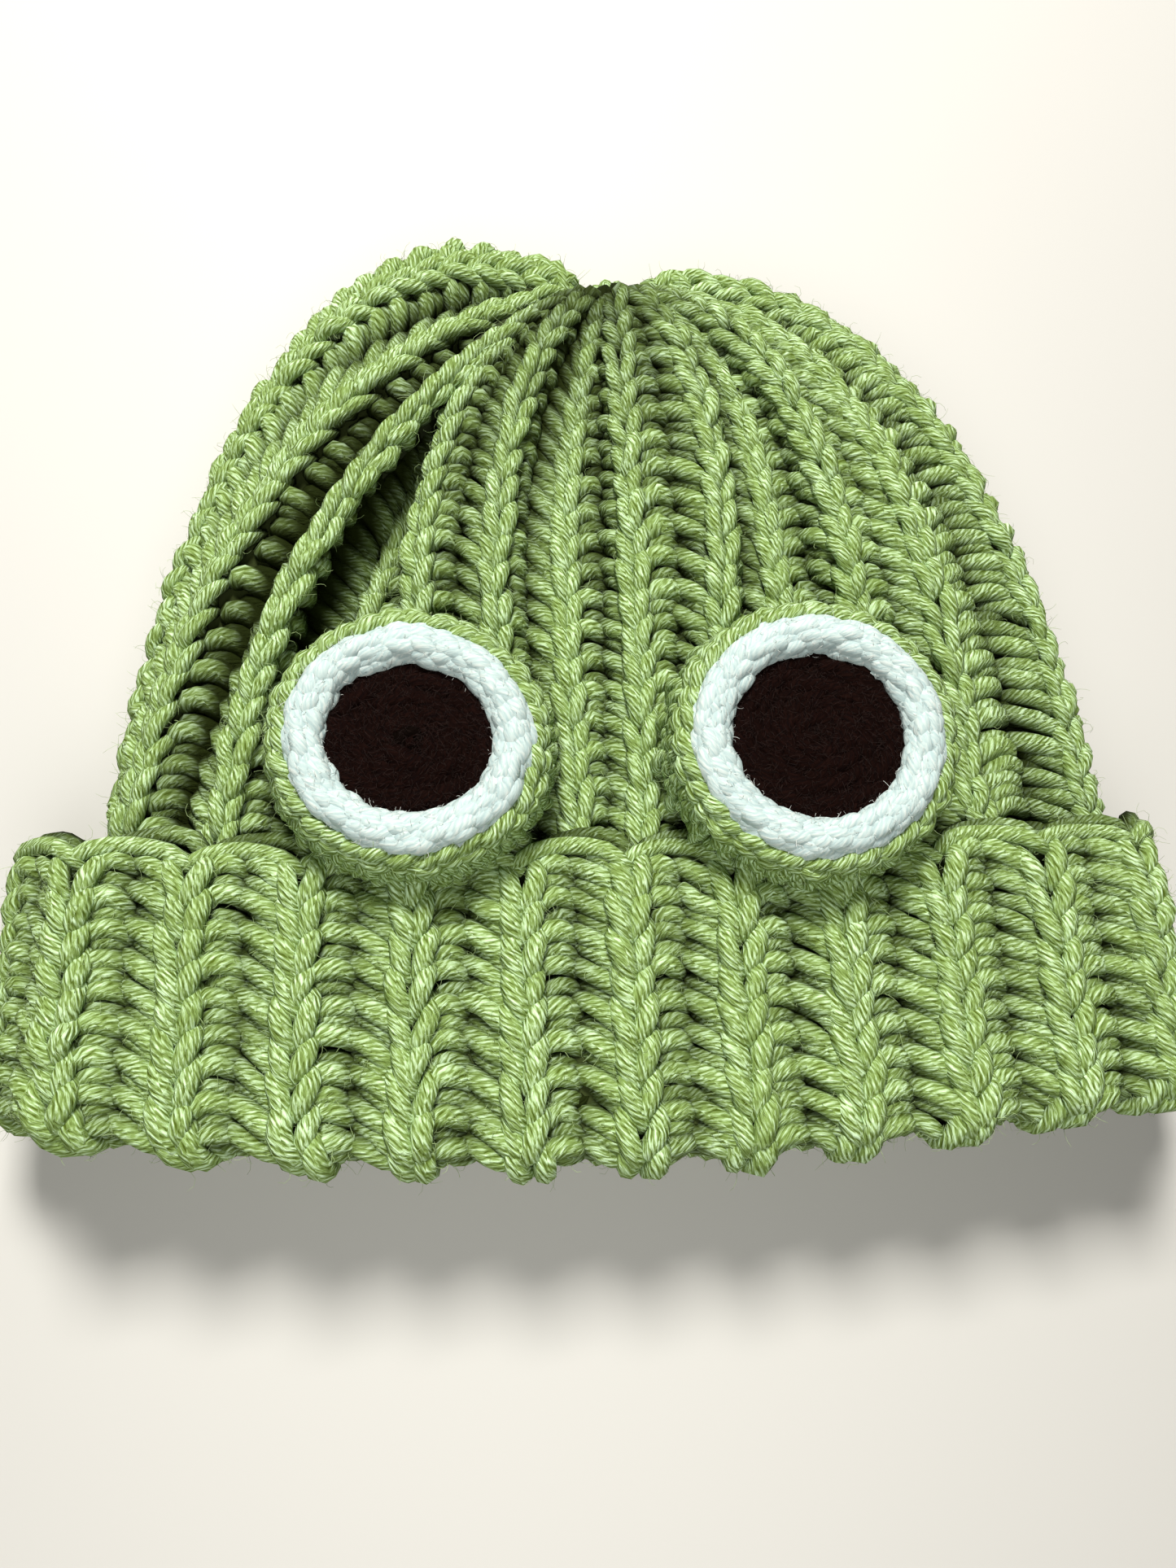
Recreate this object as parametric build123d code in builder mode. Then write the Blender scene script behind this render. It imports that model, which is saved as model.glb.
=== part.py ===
"""Ribbed crochet beanie with a turned-up cuff and two stuffed eyes, lying flat on its back.

+X runs across the hat, +Y from the mouth to the crown and +Z up from the table. The origin
is on the table under the middle of the hat. Every size is in millimetres.
"""

import os
from math import cos, radians, sin

from build123d import *

os.makedirs("parts", exist_ok=True)

# Driving dimensions of the flat hat
CUFF_WIDTH = 243.0
HAT_LENGTH = 205.0
CUFF_HEIGHT = 62.0
HEM_RISE = 12.0  # how far the hem's two corners stand back from its middle
RIB_FABRIC = 7.0  # one layer of the ribbed body
CUFF_FABRIC = 7.5  # one layer of the turned-up cuff
AIR_GAP = 10.0  # space left between the front and the back for the head
STITCH = 6.6  # height of one stitch along a rib
YARN = 2.8  # thickness of the sewing yarn
GAP = 0.3  # clearance between neighbouring pieces

# Levels above the table, from the back of the hat to its front
BODY_BACK_Z = CUFF_FABRIC + GAP
CAVITY_BACK_Z = BODY_BACK_Z + RIB_FABRIC
CAVITY_FRONT_Z = CAVITY_BACK_Z + AIR_GAP
BODY_FRONT_Z = CAVITY_FRONT_Z + RIB_FABRIC
CUFF_FRONT_Z = BODY_FRONT_Z + GAP + CUFF_FABRIC

# Stations along the hat
HEM_Y = -HAT_LENGTH / 2
HEM_CORNER_Y = HEM_Y + HEM_RISE
CUFF_TOP_Y = HEM_Y + CUFF_HEIGHT
CUFF_CLEARANCE = 2.0  # from the cuff's upper edge to the part of the body above it
BODY_START_Y = HEM_Y + CUFF_FABRIC + HEM_RISE
POUCH_START_Y = CUFF_TOP_Y + CUFF_CLEARANCE
CROWN_SWELL = 0.65  # how far the outline swells past its topmost point
CROWN_Y = HAT_LENGTH / 2 - CROWN_SWELL

# The body's outline above the cuff, round the crown, and the notch between its two lobes
BODY_SIDES = [(-105.0, POUCH_START_Y), (-100.0, 0.0), (-84.0, 44.0), (-50.0, 88.0),
              (-16.0, CROWN_Y), (32.0, 95.0), (66.0, 77.0), (97.0, 30.0), (106.0, 0.0),
              (110.0, POUCH_START_Y)]
CAVITY_SIDES = [(-97.0, POUCH_START_Y + RIB_FABRIC), (-92.0, 0.0), (-75.0, 42.0), (-42.0, 80.0),
                (44.0, 80.0), (84.0, 40.0), (98.0, 0.0), (102.0, POUCH_START_Y + RIB_FABRIC)]
NOTCH = (6.0, 99.0)
NOTCH_RADIUS = 8.0
SIDE_LEAN = 0.05  # how far the outline leans inwards where it leaves the cuff
TUBE_HEM_HALF = 113.0
TUBE_TOP_HALF = 105.0
TUBE_LAP = 12.0  # how far the tube runs on into the pouch
TUBE_END_Y = POUCH_START_Y + TUBE_LAP

# Roundings
CUFF_ROUND = 10.0
BODY_ROUND = 11.0
TUBE_ROUND = 6.0

# Crown gather
GATHER_HOLE = 5.2
GATHER_DEPTH = 21.0
GATHER_RING = 3.4
GATHER_Y = NOTCH[1] - NOTCH_RADIUS - RIB_FABRIC / 2
GATHER_Z = (RIB_FABRIC + CAVITY_FRONT_Z) / 2
KNOT_RADIUS = 2.6
TAIL = 30.0

# Back seam: the level of the cavity's floor, and the first and last stitch of each run
SEAM_STITCH = 9.0
SEAM_END_Y = NOTCH[1] - 33.0
SEAM_RUNS = [(CAVITY_BACK_Z, BODY_START_Y + STITCH, POUCH_START_Y),
             (RIB_FABRIC, POUCH_START_Y + 2 * STITCH, SEAM_END_Y)]

# Eyes: side, centre across the hat and above the hem, half width and half length of the green
# cup, and its turn in degrees
EYES = [("left", (-38.5, HEM_Y + 81.5), 27.0, 25.5, -12.0),
        ("right", (38.4, HEM_Y + 80.3), 28.2, 27.4, 0.0)]
EYE_BASE_Z = BODY_FRONT_Z + GAP
CUP_HEIGHT = 15.5
CUP_WALL = 4.2
WHITE_WIDTH = 7.8
WHITE_ROUND = 2.4
WHITE_DEPTH = 8.0
WHITE_PROUD = 2.8  # how far the white ring stands above the cup
PUPIL_SUNK = 2.0  # how far the pupil lies below the white ring's top
EYE_STITCHES = 14
EYE_STITCH_HEIGHT = 5.0
EYE_STITCH_RADIUS = 1.1
FILLING_ROUND = 1.5


def write(piece, name):
    """Labels a finished piece and writes it as its own STEP file."""
    piece.part.label = name
    export_step(piece.part, f"parts/{name}.step")


def eye_sketch(height, centre, half_width, half_length, turn):
    """One ellipse of an eye, in the plane at the given height."""
    with BuildSketch(Plane.XY.offset(height)) as outline:
        with Locations(centre):
            Ellipse(half_width, half_length, rotation=turn)
    return outline.sketch


def tube_outline(plane, start_y, end_y, inset):
    """The part of the body inside the cuff, a little wider at the hem."""
    hem_half = TUBE_HEM_HALF - inset
    top_half = TUBE_TOP_HALF - inset
    with BuildSketch(plane) as outline:
        with BuildLine():
            Polyline((-hem_half, start_y), (hem_half, start_y), (top_half, end_y),
                     (-top_half, end_y), close=True)
        make_face()
    return outline.sketch


# The turned-up cuff: a flat tube round the body's lower end, folded in at the hem, with the
# hat's mouth through the fold and the two eyes' places let into its upper front edge.
with BuildPart() as turned_up_cuff:
    half = CUFF_WIDTH / 2
    with BuildSketch(Plane.XY):
        with BuildLine():
            ThreePointArc((-half, HEM_CORNER_Y), (0, HEM_Y), (half, HEM_CORNER_Y))
            Polyline((half, HEM_CORNER_Y), (half, CUFF_TOP_Y), (-half, CUFF_TOP_Y),
                     (-half, HEM_CORNER_Y))
        cuff_face = make_face()
        fillet(cuff_face.vertices().group_by(Axis.Y)[-1], CUFF_ROUND)
    extrude(amount=CUFF_FRONT_Z)
    fillet(faces().filter_by(Axis.Z).edges(), CUFF_ROUND)
    extrude(tube_outline(Plane.XY.offset(BODY_BACK_Z - GAP), BODY_START_Y - GAP, TUBE_END_Y, -GAP),
            amount=BODY_FRONT_Z - BODY_BACK_Z + 2 * GAP, mode=Mode.SUBTRACT)
    extrude(tube_outline(Plane.XY.offset(CAVITY_BACK_Z), HEM_Y - CUFF_ROUND, CUFF_TOP_Y, RIB_FABRIC),
            amount=AIR_GAP, mode=Mode.SUBTRACT)
    for _, centre, half_width, half_length, turn in EYES:
        room = YARN + 2 * GAP
        extrude(eye_sketch(EYE_BASE_Z - GAP, centre, half_width + room, half_length + room, turn),
                amount=CUFF_FABRIC + 2 * GAP, mode=Mode.SUBTRACT)
write(turned_up_cuff, "turned_up_cuff")

# The ribbed body: the tube inside the cuff and the pouch above it, open at the mouth and at
# the small gathered hole in the crown.
with BuildPart() as lower_tube:
    extrude(tube_outline(Plane.XY.offset(BODY_BACK_Z), BODY_START_Y, TUBE_END_Y, 0),
            amount=BODY_FRONT_Z - BODY_BACK_Z)
    tube_sides = faces().filter_by(Axis.Z).edges().sort_by(Axis.X)
    fillet(tube_sides[:2] + tube_sides[-2:], TUBE_ROUND)

with BuildPart() as ribbed_body:
    with BuildSketch(Plane.XY):
        with BuildLine():
            Spline(BODY_SIDES, tangents=[(SIDE_LEAN, 1.0), (SIDE_LEAN, -1.0)])
            Line(BODY_SIDES[-1], BODY_SIDES[0])
        make_face()
    extrude(amount=BODY_FRONT_Z)
    fillet(edges().filter_by(GeomType.BSPLINE), BODY_ROUND)
    add(lower_tube.part)
    with BuildSketch(Plane.XY.offset(RIB_FABRIC)):
        with BuildLine():
            Polyline(CAVITY_SIDES, close=True)
        make_face()
    extrude(amount=CAVITY_FRONT_Z - RIB_FABRIC, mode=Mode.SUBTRACT)
    extrude(tube_outline(Plane.XY.offset(CAVITY_BACK_Z), HEM_Y, TUBE_END_Y, RIB_FABRIC),
            amount=AIR_GAP, mode=Mode.SUBTRACT)
    with BuildSketch(Plane.XY):
        with Locations(NOTCH):
            Circle(NOTCH_RADIUS)
    extrude(amount=BODY_FRONT_Z, mode=Mode.SUBTRACT)
    with BuildSketch(Plane.XZ.offset(-NOTCH[1])):
        with Locations((NOTCH[0], GATHER_Z)):
            Circle(GATHER_HOLE)
    extrude(amount=GATHER_DEPTH, mode=Mode.SUBTRACT)
write(ribbed_body, "ribbed_body")

# The yarn drawn through the rib ends to pull the crown shut, lying as a ring in its hole.
with BuildPart() as crown_gather_yarn:
    with Locations(Location((NOTCH[0], GATHER_Y, GATHER_Z), (90, 0, 0))):
        Torus(GATHER_RING, YARN / 2)
write(crown_gather_yarn, "crown_gather_yarn")

# The knot that holds the gather, with its tail woven in behind it.
with BuildPart() as crown_knot:
    with Locations((NOTCH[0], GATHER_Y - KNOT_RADIUS - YARN, GATHER_Z)):
        Sphere(KNOT_RADIUS)
    with Locations(Location((NOTCH[0], GATHER_Y - YARN, GATHER_Z), (90, 0, 0))):
        Cylinder(YARN / 2, TAIL, align=(Align.CENTER, Align.CENTER, Align.MIN))
write(crown_knot, "crown_knot")

# The whip stitches inside the back of the hat that join the two ends of the ribbed strip.
with BuildPart() as back_seam_yarn:
    for floor_z, first_y, last_y in SEAM_RUNS:
        rows = int((last_y - first_y) / STITCH)
        for row in range(rows + 1):
            with Locations(Location((0, first_y + row * STITCH, floor_z + YARN / 2 + GAP), (0, 90, 0))):
                Cylinder(YARN / 2, SEAM_STITCH)
write(back_seam_yarn, "back_seam_yarn")

# Each eye: a green cup of crochet sewn to the front, a white ring round its top edge, a black
# pupil sunk in the ring, a wad of fibre filling inside and the stitches round its foot.
for side, centre, half_width, half_length, turn in EYES:
    cup_top_z = EYE_BASE_Z + CUP_HEIGHT
    white_top_z = cup_top_z + WHITE_PROUD
    white_base_z = white_top_z - WHITE_DEPTH
    inner_width = half_width - CUP_WALL
    inner_length = half_length - CUP_WALL
    pupil_width = inner_width - WHITE_WIDTH
    pupil_length = inner_length - WHITE_WIDTH

    with BuildPart() as eye_cup:
        extrude(eye_sketch(EYE_BASE_Z, centre, half_width, half_length, turn), amount=CUP_HEIGHT)
        fillet(edges().group_by(Axis.Z)[-1], CUP_WALL / 2)
        extrude(eye_sketch(EYE_BASE_Z, centre, inner_width, inner_length, turn),
                amount=CUP_HEIGHT, mode=Mode.SUBTRACT)
    write(eye_cup, f"{side}_eye_cup")

    with BuildPart() as eye_white:
        extrude(eye_sketch(white_base_z, centre, inner_width - GAP, inner_length - GAP, turn),
                amount=WHITE_DEPTH)
        fillet(edges().group_by(Axis.Z)[-1], WHITE_ROUND)
        extrude(eye_sketch(white_base_z, centre, pupil_width, pupil_length, turn),
                amount=WHITE_DEPTH, mode=Mode.SUBTRACT)
    write(eye_white, f"{side}_eye_white")

    with BuildPart() as eye_pupil:
        extrude(eye_sketch(white_base_z, centre, pupil_width - GAP, pupil_length - GAP, turn),
                amount=WHITE_DEPTH - PUPIL_SUNK)
    write(eye_pupil, f"{side}_eye_pupil")

    with BuildPart() as eye_filling:
        extrude(eye_sketch(EYE_BASE_Z, centre, inner_width - GAP, inner_length - GAP, turn),
                amount=white_base_z - GAP - EYE_BASE_Z)
        fillet(edges(), FILLING_ROUND)
    write(eye_filling, f"{side}_eye_filling")

    with BuildPart() as eye_sewing_yarn:
        for stitch in range(EYE_STITCHES):
            around = radians(360 / EYE_STITCHES * stitch)
            reach_x = (half_width + YARN / 2 + GAP) * cos(around)
            reach_y = (half_length + YARN / 2 + GAP) * sin(around)
            stitch_x = centre[0] + reach_x * cos(radians(turn)) - reach_y * sin(radians(turn))
            stitch_y = centre[1] + reach_x * sin(radians(turn)) + reach_y * cos(radians(turn))
            with Locations((stitch_x, stitch_y, EYE_BASE_Z)):
                Cylinder(EYE_STITCH_RADIUS, EYE_STITCH_HEIGHT,
                         align=(Align.CENTER, Align.CENTER, Align.MIN))
    write(eye_sewing_yarn, f"{side}_eye_sewing_yarn")
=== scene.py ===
from math import cos, pi, radians, sin

import bmesh
import bpy
import numpy as np
from mathutils import Euler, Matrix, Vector


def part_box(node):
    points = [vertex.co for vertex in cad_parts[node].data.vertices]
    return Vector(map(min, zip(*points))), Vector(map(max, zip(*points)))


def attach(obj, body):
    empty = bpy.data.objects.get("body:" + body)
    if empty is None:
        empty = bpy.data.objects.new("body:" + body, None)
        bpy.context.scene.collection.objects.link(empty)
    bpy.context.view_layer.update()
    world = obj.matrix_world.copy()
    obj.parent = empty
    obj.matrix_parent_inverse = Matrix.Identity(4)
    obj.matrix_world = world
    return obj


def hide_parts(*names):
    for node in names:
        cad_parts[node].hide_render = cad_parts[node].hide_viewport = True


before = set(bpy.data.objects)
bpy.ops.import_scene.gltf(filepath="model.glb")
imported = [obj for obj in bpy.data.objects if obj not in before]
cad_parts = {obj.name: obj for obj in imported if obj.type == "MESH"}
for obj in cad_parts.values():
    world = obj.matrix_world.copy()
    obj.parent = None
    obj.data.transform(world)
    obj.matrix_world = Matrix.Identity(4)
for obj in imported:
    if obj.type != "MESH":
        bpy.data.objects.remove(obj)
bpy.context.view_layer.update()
MM = 0.001  # the hat's own sizes below are in millimetres


# --- Camera, floor and light ------------------------------------------------------------
# The hat lies on a plain pale floor and is looked down on from close above its cuff. One soft
# lamp stands high behind the crown and lights it, and a weak one in front fills the shadows.
camera_data = bpy.data.cameras.new("studio_camera")
camera_data.sensor_width = 36.0
camera_data.lens = 26.53
camera = bpy.data.objects.new("studio_camera", camera_data)
camera.location = Vector((-23.6, -70.2, 256.0)) * MM
camera.rotation_euler = Euler([radians(turn) for turn in (10.93, -4.42, -2.37)])
bpy.context.collection.objects.link(camera)
bpy.context.scene.camera = camera

floor_mesh = bpy.data.meshes.new("floor")
floor_form = bmesh.new()
bmesh.ops.create_grid(floor_form, x_segments=1, y_segments=1, size=2.5)
floor_form.to_mesh(floor_mesh)
floor_form.free()
floor = bpy.data.objects.new("floor", floor_mesh)
bpy.context.collection.objects.link(floor)
floor_material = bpy.data.materials.new("pale_floor")
floor_material.use_nodes = True
floor_shader = floor_material.node_tree.nodes["Principled BSDF"]
floor_shader.inputs["Base Color"].default_value = (0.56, 0.545, 0.52, 1)
floor_shader.inputs["Roughness"].default_value = 0.6
floor_mesh.materials.append(floor_material)


def soft_box(name, place, aim, size, watts, tint):
    """A square area light at a place, turned to face a point on the hat."""
    lamp_data = bpy.data.lights.new(name, "AREA")
    lamp_data.size = size
    lamp_data.energy = watts
    lamp_data.color = tint
    lamp = bpy.data.objects.new(name, lamp_data)
    lamp.location = Vector(place)
    lamp.rotation_euler = (Vector(aim) - Vector(place)).to_track_quat("-Z", "Y").to_euler()
    bpy.context.collection.objects.link(lamp)


soft_box("window_light", place=(-0.08, 0.60, 0.80), aim=(0, 0, 0.02), size=0.28, watts=16.5,
         tint=(1.0, 0.985, 0.93))
soft_box("fill_light", place=(-0.03, -0.21, 0.31), aim=(0, -0.05, 0.03), size=0.25, watts=0.68,
         tint=(1.0, 1.0, 0.95))
world = bpy.data.worlds.new("studio_world")
world.use_nodes = True
world.node_tree.nodes["Background"].inputs["Color"].default_value = (1.0, 0.99, 0.93, 1)
world.node_tree.nodes["Background"].inputs["Strength"].default_value = 0.06
bpy.context.scene.world = world
bpy.context.scene.view_settings.view_transform = "Standard"


# --- Ribbed body ------------------------------------------------------------------------
# A strip of half double crochet in green worsted acrylic, worked sideways so that its rows
# stand up as ribs, joined into a tube and drawn shut at the crown. It is laid out as the maker
# sees it: rib by rib round the hat, stitch by stitch up each rib, strand by strand in a stitch.
STITCH = 6.6  # along a rib
RIBS = 24  # round the whole hat; the first twelve lie on the front
FRONT_RIBS = RIBS // 2
RINGS = 9  # along each strand
SIDES = 7  # round it
TABLE_GAP = 0.0001  # m; the yarn flattens where the hat rests
rng = np.random.default_rng(24)

hem_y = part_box("turned_up_cuff")[0][1] / MM

# Each front rib runs from under the cuff to the crown along a Bezier curve: the x, distance
# from the hem and height above the table of its first three points, from the left side.
FRONT_COURSES = [
    [(-99, 52, 20), (-88, 118, 23), (-60, 172, 34)],
    [(-78, 52, 27), (-73, 112, 33), (-48, 152, 42)],
    [(-58, 52, 28), (-56, 108, 20), (-43, 150, 12)],
    [(-39, 52, 28), (-36, 100, 27), (-48, 162, 35)],
    [(-23, 52, 28), (-20, 100, 29), (-30, 157, 36)],
    [(-7, 52, 28), (-7, 100, 30), (-11, 143, 24)],
    [(6, 52, 28), (8, 100, 29), (6, 152, 37)],
    [(21, 52, 28), (21, 100, 30), (36, 159, 37)],
    [(37, 52, 28), (35, 102, 27), (47, 163, 26)],
    [(55, 52, 28), (54, 108, 30), (56, 170, 38)],
    [(77, 52, 27), (69, 105, 31), (74, 172, 34)],
    [(104, 52, 19), (101, 116, 22), (76, 196, 24)],
]
# The back ribs fan out flat on the table, apart from the one at each side. The left one
# rises again towards the crown, where the gathering leaves it standing as a lobe.
BACK_REACH = 103  # x of the last back rib at each side, at the cuff
BACK_Z = 4.8
RIGHT_SIDE_COURSE = [(105, 52, 9), (104, 120, 8), (80, 204, 11)]
LEFT_LOBE_COURSE = [(-100, 52, 10), (-101, 118, 12), (-60, 219, 28)]
LEFT_EDGE_COURSE = [(-90, 52, 5), (-90, 118, 5), (-64, 232, 9)]
# How deep the fabric folds between each rib and the next: at the cuff, halfway, at the crown.
FOLDS = [
    (4, 10, 8), (4, 7, 4), (4, 5, 3), (3.5, 4, 2), (3.5, 4, 2.5), (3, 3.5, 1.5), (3, 2.5, 0.5),
    (3, 4, 1.5), (3, 3, 1), (3, 2.5, 1), (3, 2.5, 1.5), (0, -0.5, -2),
]
BACK_FOLD = (3, 3, 3)
EDGE_FOLD = (-1, -2, -3)
LOBE_FOLD = (-1, 2, 7)
GATHER_WIDTH = 8.0  # from the middle of the gathered crown to a rib's end
GATHER_HEIGHT = 6.0

gather_box = np.array(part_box("crown_gather_yarn")) / MM
gather_middle = gather_box.mean(axis=0)
courses = np.zeros((RIBS, 4, 3))
courses[:FRONT_RIBS, :3] = FRONT_COURSES
for rib in range(FRONT_RIBS, RIBS):
    reach = BACK_REACH * (1 - 2 * (rib - FRONT_RIBS) / (FRONT_RIBS - 1))
    lean = abs(reach / BACK_REACH)
    courses[rib, :3] = [(reach, 52, BACK_Z), (reach * 0.96, 112, BACK_Z),
                        (reach * 0.74, 164 + 36 * lean ** 2, BACK_Z + 3 * lean)]
courses[FRONT_RIBS, :3] = RIGHT_SIDE_COURSE
courses[RIBS - 2, :3] = LEFT_EDGE_COURSE
courses[RIBS - 1, :3] = LEFT_LOBE_COURSE
courses[:, :3, 1] += hem_y
for rib in range(RIBS):
    turn = pi * (1 - (rib + 0.5) / FRONT_RIBS)
    courses[rib, 3] = gather_middle + np.array([GATHER_WIDTH * cos(turn), 2 * abs(cos(turn)),
                                                GATHER_HEIGHT * sin(turn)])
folds = np.array(FOLDS + [BACK_FOLD] * (FRONT_RIBS - 2) + [EDGE_FOLD, LOBE_FOLD], float)


def body_ground(rib, along):
    """The body's middle layer at a rib number and a share of the way from cuff to crown."""
    along = np.asarray(along)
    weights = np.stack([(1 - along) ** 3, 3 * along * (1 - along) ** 2,
                        3 * along ** 2 * (1 - along), along ** 3], -1)
    whole = np.floor(rib).astype(int)
    f = (rib - whole)[..., None]
    a, b, c, d = (np.einsum("...k,...kx->...x", weights, courses[(whole + step) % RIBS])
                  for step in (-1, 0, 1, 2))
    return 0.5 * (2 * b + (c - a) * f + (2 * a - 5 * b + 4 * c - d) * f ** 2
                  + (3 * b - a - 3 * c + d) * f ** 3)


def body_fold(rib, along):
    """How far the fabric sinks between two ribs there."""
    whole = np.floor(rib).astype(int)
    depth = folds[whole % RIBS]
    low, middle, high = depth[..., 0], depth[..., 1], depth[..., 2]
    lower_half = low + (middle - low) * np.clip(along * 2, 0, 1)
    upper_half = middle + (high - middle) * np.clip(along * 2 - 1, 0, 1)
    deep = np.where(along < 0.5, lower_half, upper_half)
    return deep * (0.5 - 0.5 * np.cos(2 * pi * (rib - whole)))


def on_fabric(ground, fold, rib, along, height, step=0.02):
    """Points and outward directions at a height over the fabric of a ground surface."""
    across = ground(rib + 0.02, along) - ground(rib - 0.02, along)
    up_rib = ground(rib, along + step) - ground(rib, along - step)
    outward = np.cross(across, up_rib)
    outward /= np.maximum(np.linalg.norm(outward, axis=-1, keepdims=True), 1e-6)
    lift = (height - fold(rib, along))[..., None]
    return ground(rib, along) + outward * lift, outward


def strand_template(sides, rings):
    """A straight unit tube with closed ends: its ring number and angle at every vertex."""
    form = bmesh.new()
    bmesh.ops.create_cone(form, cap_ends=True, segments=sides, radius1=1, radius2=1, depth=1)
    long_edges = [edge for edge in form.edges if abs(edge.verts[0].co.z - edge.verts[1].co.z) > 0.5]
    bmesh.ops.subdivide_edges(form, edges=long_edges, cuts=rings - 2, use_grid_fill=True)
    form.verts.ensure_lookup_table()
    co = np.array([vertex.co[:] for vertex in form.verts])
    faces = [[vertex.index for vertex in face.verts] for face in form.faces]
    form.free()
    ring = np.rint((co[:, 2] + 0.5) * (rings - 1)).astype(int)
    return ring, np.arctan2(co[:, 1], co[:, 0]), faces


def spline_points(knots, rings):
    """Points along a smooth curve through each strand's knots: (strands, rings, columns)."""
    knots = np.asarray(knots, float)
    padded = np.concatenate([2 * knots[:, :1] - knots[:, 1:2], knots,
                             2 * knots[:, -1:] - knots[:, -2:-1]], 1)
    spans = knots.shape[1] - 1
    place = np.linspace(0, spans, rings)
    first = np.minimum(place.astype(int), spans - 1)
    f = (place - first)[None, :, None]
    a, b, c, d = (padded[:, first + step] for step in range(4))
    return 0.5 * (2 * b + (c - a) * f + (2 * a - 5 * b + 4 * c - d) * f ** 2
                  + (3 * b - a - 3 * c + d) * f ** 3)


def yarn_piece(name, centres, outward, radii, material, heights=None, sides=SIDES):
    """One mesh of many strands, each a template tube bent along its centres. Its UV map runs
    along the yarn in millimetres and round it in turns. It also carries a random tone for each
    strand, and how far each point stands out of the fabric, which sets the painted shade of
    yarn that sinks between its neighbours."""
    strands, rings = radii.shape
    ring, angle, faces = strand_template(sides, rings)
    run = np.gradient(centres, axis=1)
    run /= np.maximum(np.linalg.norm(run, axis=-1, keepdims=True), 1e-9)
    side = np.cross(run, outward)
    side /= np.maximum(np.linalg.norm(side, axis=-1, keepdims=True), 1e-9)
    up = np.cross(side, run)
    turned = -(np.cos(angle)[None, :, None] * up[:, ring]
               + np.sin(angle)[None, :, None] * side[:, ring])
    co = (centres[:, ring] + turned * radii[:, ring, None]) * MM
    co[..., 2] = np.maximum(co[..., 2], TABLE_GAP)
    per_strand = len(ring)
    corners = np.concatenate([np.array(face) for face in faces])
    lengths = np.array([len(face) for face in faces])
    mesh = bpy.data.meshes.new(name)
    mesh.vertices.add(strands * per_strand)
    mesh.vertices.foreach_set("co", co.reshape(-1))
    offsets = (np.arange(strands) * per_strand)[:, None]
    mesh.loops.add(strands * len(corners))
    mesh.loops.foreach_set("vertex_index", (corners[None] + offsets).reshape(-1).astype(np.int32))
    mesh.polygons.add(strands * len(lengths))
    starts = np.concatenate([[0], np.cumsum(np.tile(lengths, strands))[:-1]])
    mesh.polygons.foreach_set("loop_start", starts.astype(np.int32))
    mesh.update(calc_edges=True)
    mesh.polygons.foreach_set("use_smooth", np.ones(strands * len(lengths), bool))
    step = np.linalg.norm(np.diff(centres, axis=1), axis=-1)
    travelled = np.concatenate([np.zeros((strands, 1)), np.cumsum(step, 1)], 1)
    travelled += rng.uniform(0, 400, (strands, 1))
    turn = angle / (2 * pi)
    turn_at_corner = np.concatenate([
        np.where(turn[face] < turn[face].max() - 0.5, turn[face] + 1, turn[face]) for face in faces])
    uv = np.stack([travelled[:, ring[corners]], np.tile(turn_at_corner, (strands, 1))], -1)
    mesh.uv_layers.new(name="yarn_run").data.foreach_set("uv", uv.reshape(-1))
    shade = mesh.attributes.new("shade", "FLOAT", "POINT")
    shade.data.foreach_set("value", np.repeat(rng.uniform(0, 1, strands), per_strand))
    standing = np.full((strands, per_strand), 3.0)
    if heights is not None:
        # painted shade: a point on a strand's underside, or on a tip that dives into the fabric, stands
        # lower and is painted darker
        standing = heights[:, ring] - np.cos(angle)[None] * radii[:, ring]
    mesh.attributes.new("stand", "FLOAT", "POINT").data.foreach_set("value", standing.reshape(-1))
    mesh.validate()
    mesh.materials.append(material)
    piece = bpy.data.objects.new(name, mesh)
    bpy.context.collection.objects.link(piece)
    return piece


SWELL = 0.45  # below 1, a strand keeps its full thickness nearer to its tips
UNEVEN = 0.06  # share by which one strand is thicker or thinner than the next


def plump(strands, rings, middle, tip):
    """Radii of strands that swell from tucked-in tips to their middle."""
    place = np.linspace(0, 1, rings)
    swell = np.sin(pi * place) ** SWELL
    radii = tip + (middle - tip) * swell[None, :]
    return radii * rng.uniform(1 - UNEVEN, 1 + UNEVEN, (strands, 1))


# One stitch, seen with its rib upright. The rib shows as a chain of Vs whose points look to
# the hem: (across in mm, along in stitches, height in mm) for the left leg.
LEG = [(-0.1, -0.80, -1.8), (-1.1, -0.42, 0.7), (-2.3, 0.10, 1.5), (-3.0, 0.58, 0.5), (-2.6, 1.0, -1.9)]
# Between two ribs each stitch shows two plump beads and two strands that slant down to the next
# rib, which arch out of the fabric and dive back: (share of the way across, along in stitches,
# height in mm).
RUNGS = [
    [(0.13, -0.28, -2.2), (0.20, 0.02, 0.2), (0.32, 0.15, 1.1), (0.44, 0.03, 0.3), (0.51, -0.26, -2.2)],
    [(0.42, 0.28, -2.2), (0.52, 0.18, 0.2), (0.66, -0.08, 1.0), (0.80, -0.40, 0.4), (0.91, -0.80, -2.2)],
    [(0.15, -0.76, -2.4), (0.23, -0.51, -0.4), (0.33, -0.42, 0.2), (0.44, -0.54, -0.5), (0.51, -0.80, -2.4)],
    [(0.50, 0.76, -2.4), (0.60, 0.64, -0.6), (0.74, 0.38, 0.0), (0.85, 0.06, -0.7), (0.93, -0.24, -2.4)],
]
# Behind them the stitch's post closes most of the gap that they leave.
POSTS = [
    [(0.36, 0.44, -3.0), (0.46, 0.42, -1.6), (0.56, 0.34, -1.2), (0.67, 0.24, -1.6), (0.76, 0.08, -3.0)],
]
# How plump each shape of strand is, in turn.
PLUMPNESS = {"ribs": [1.0], "rungs": [1.08, 0.96, 1.0, 0.94], "posts": [1.0]}
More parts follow.
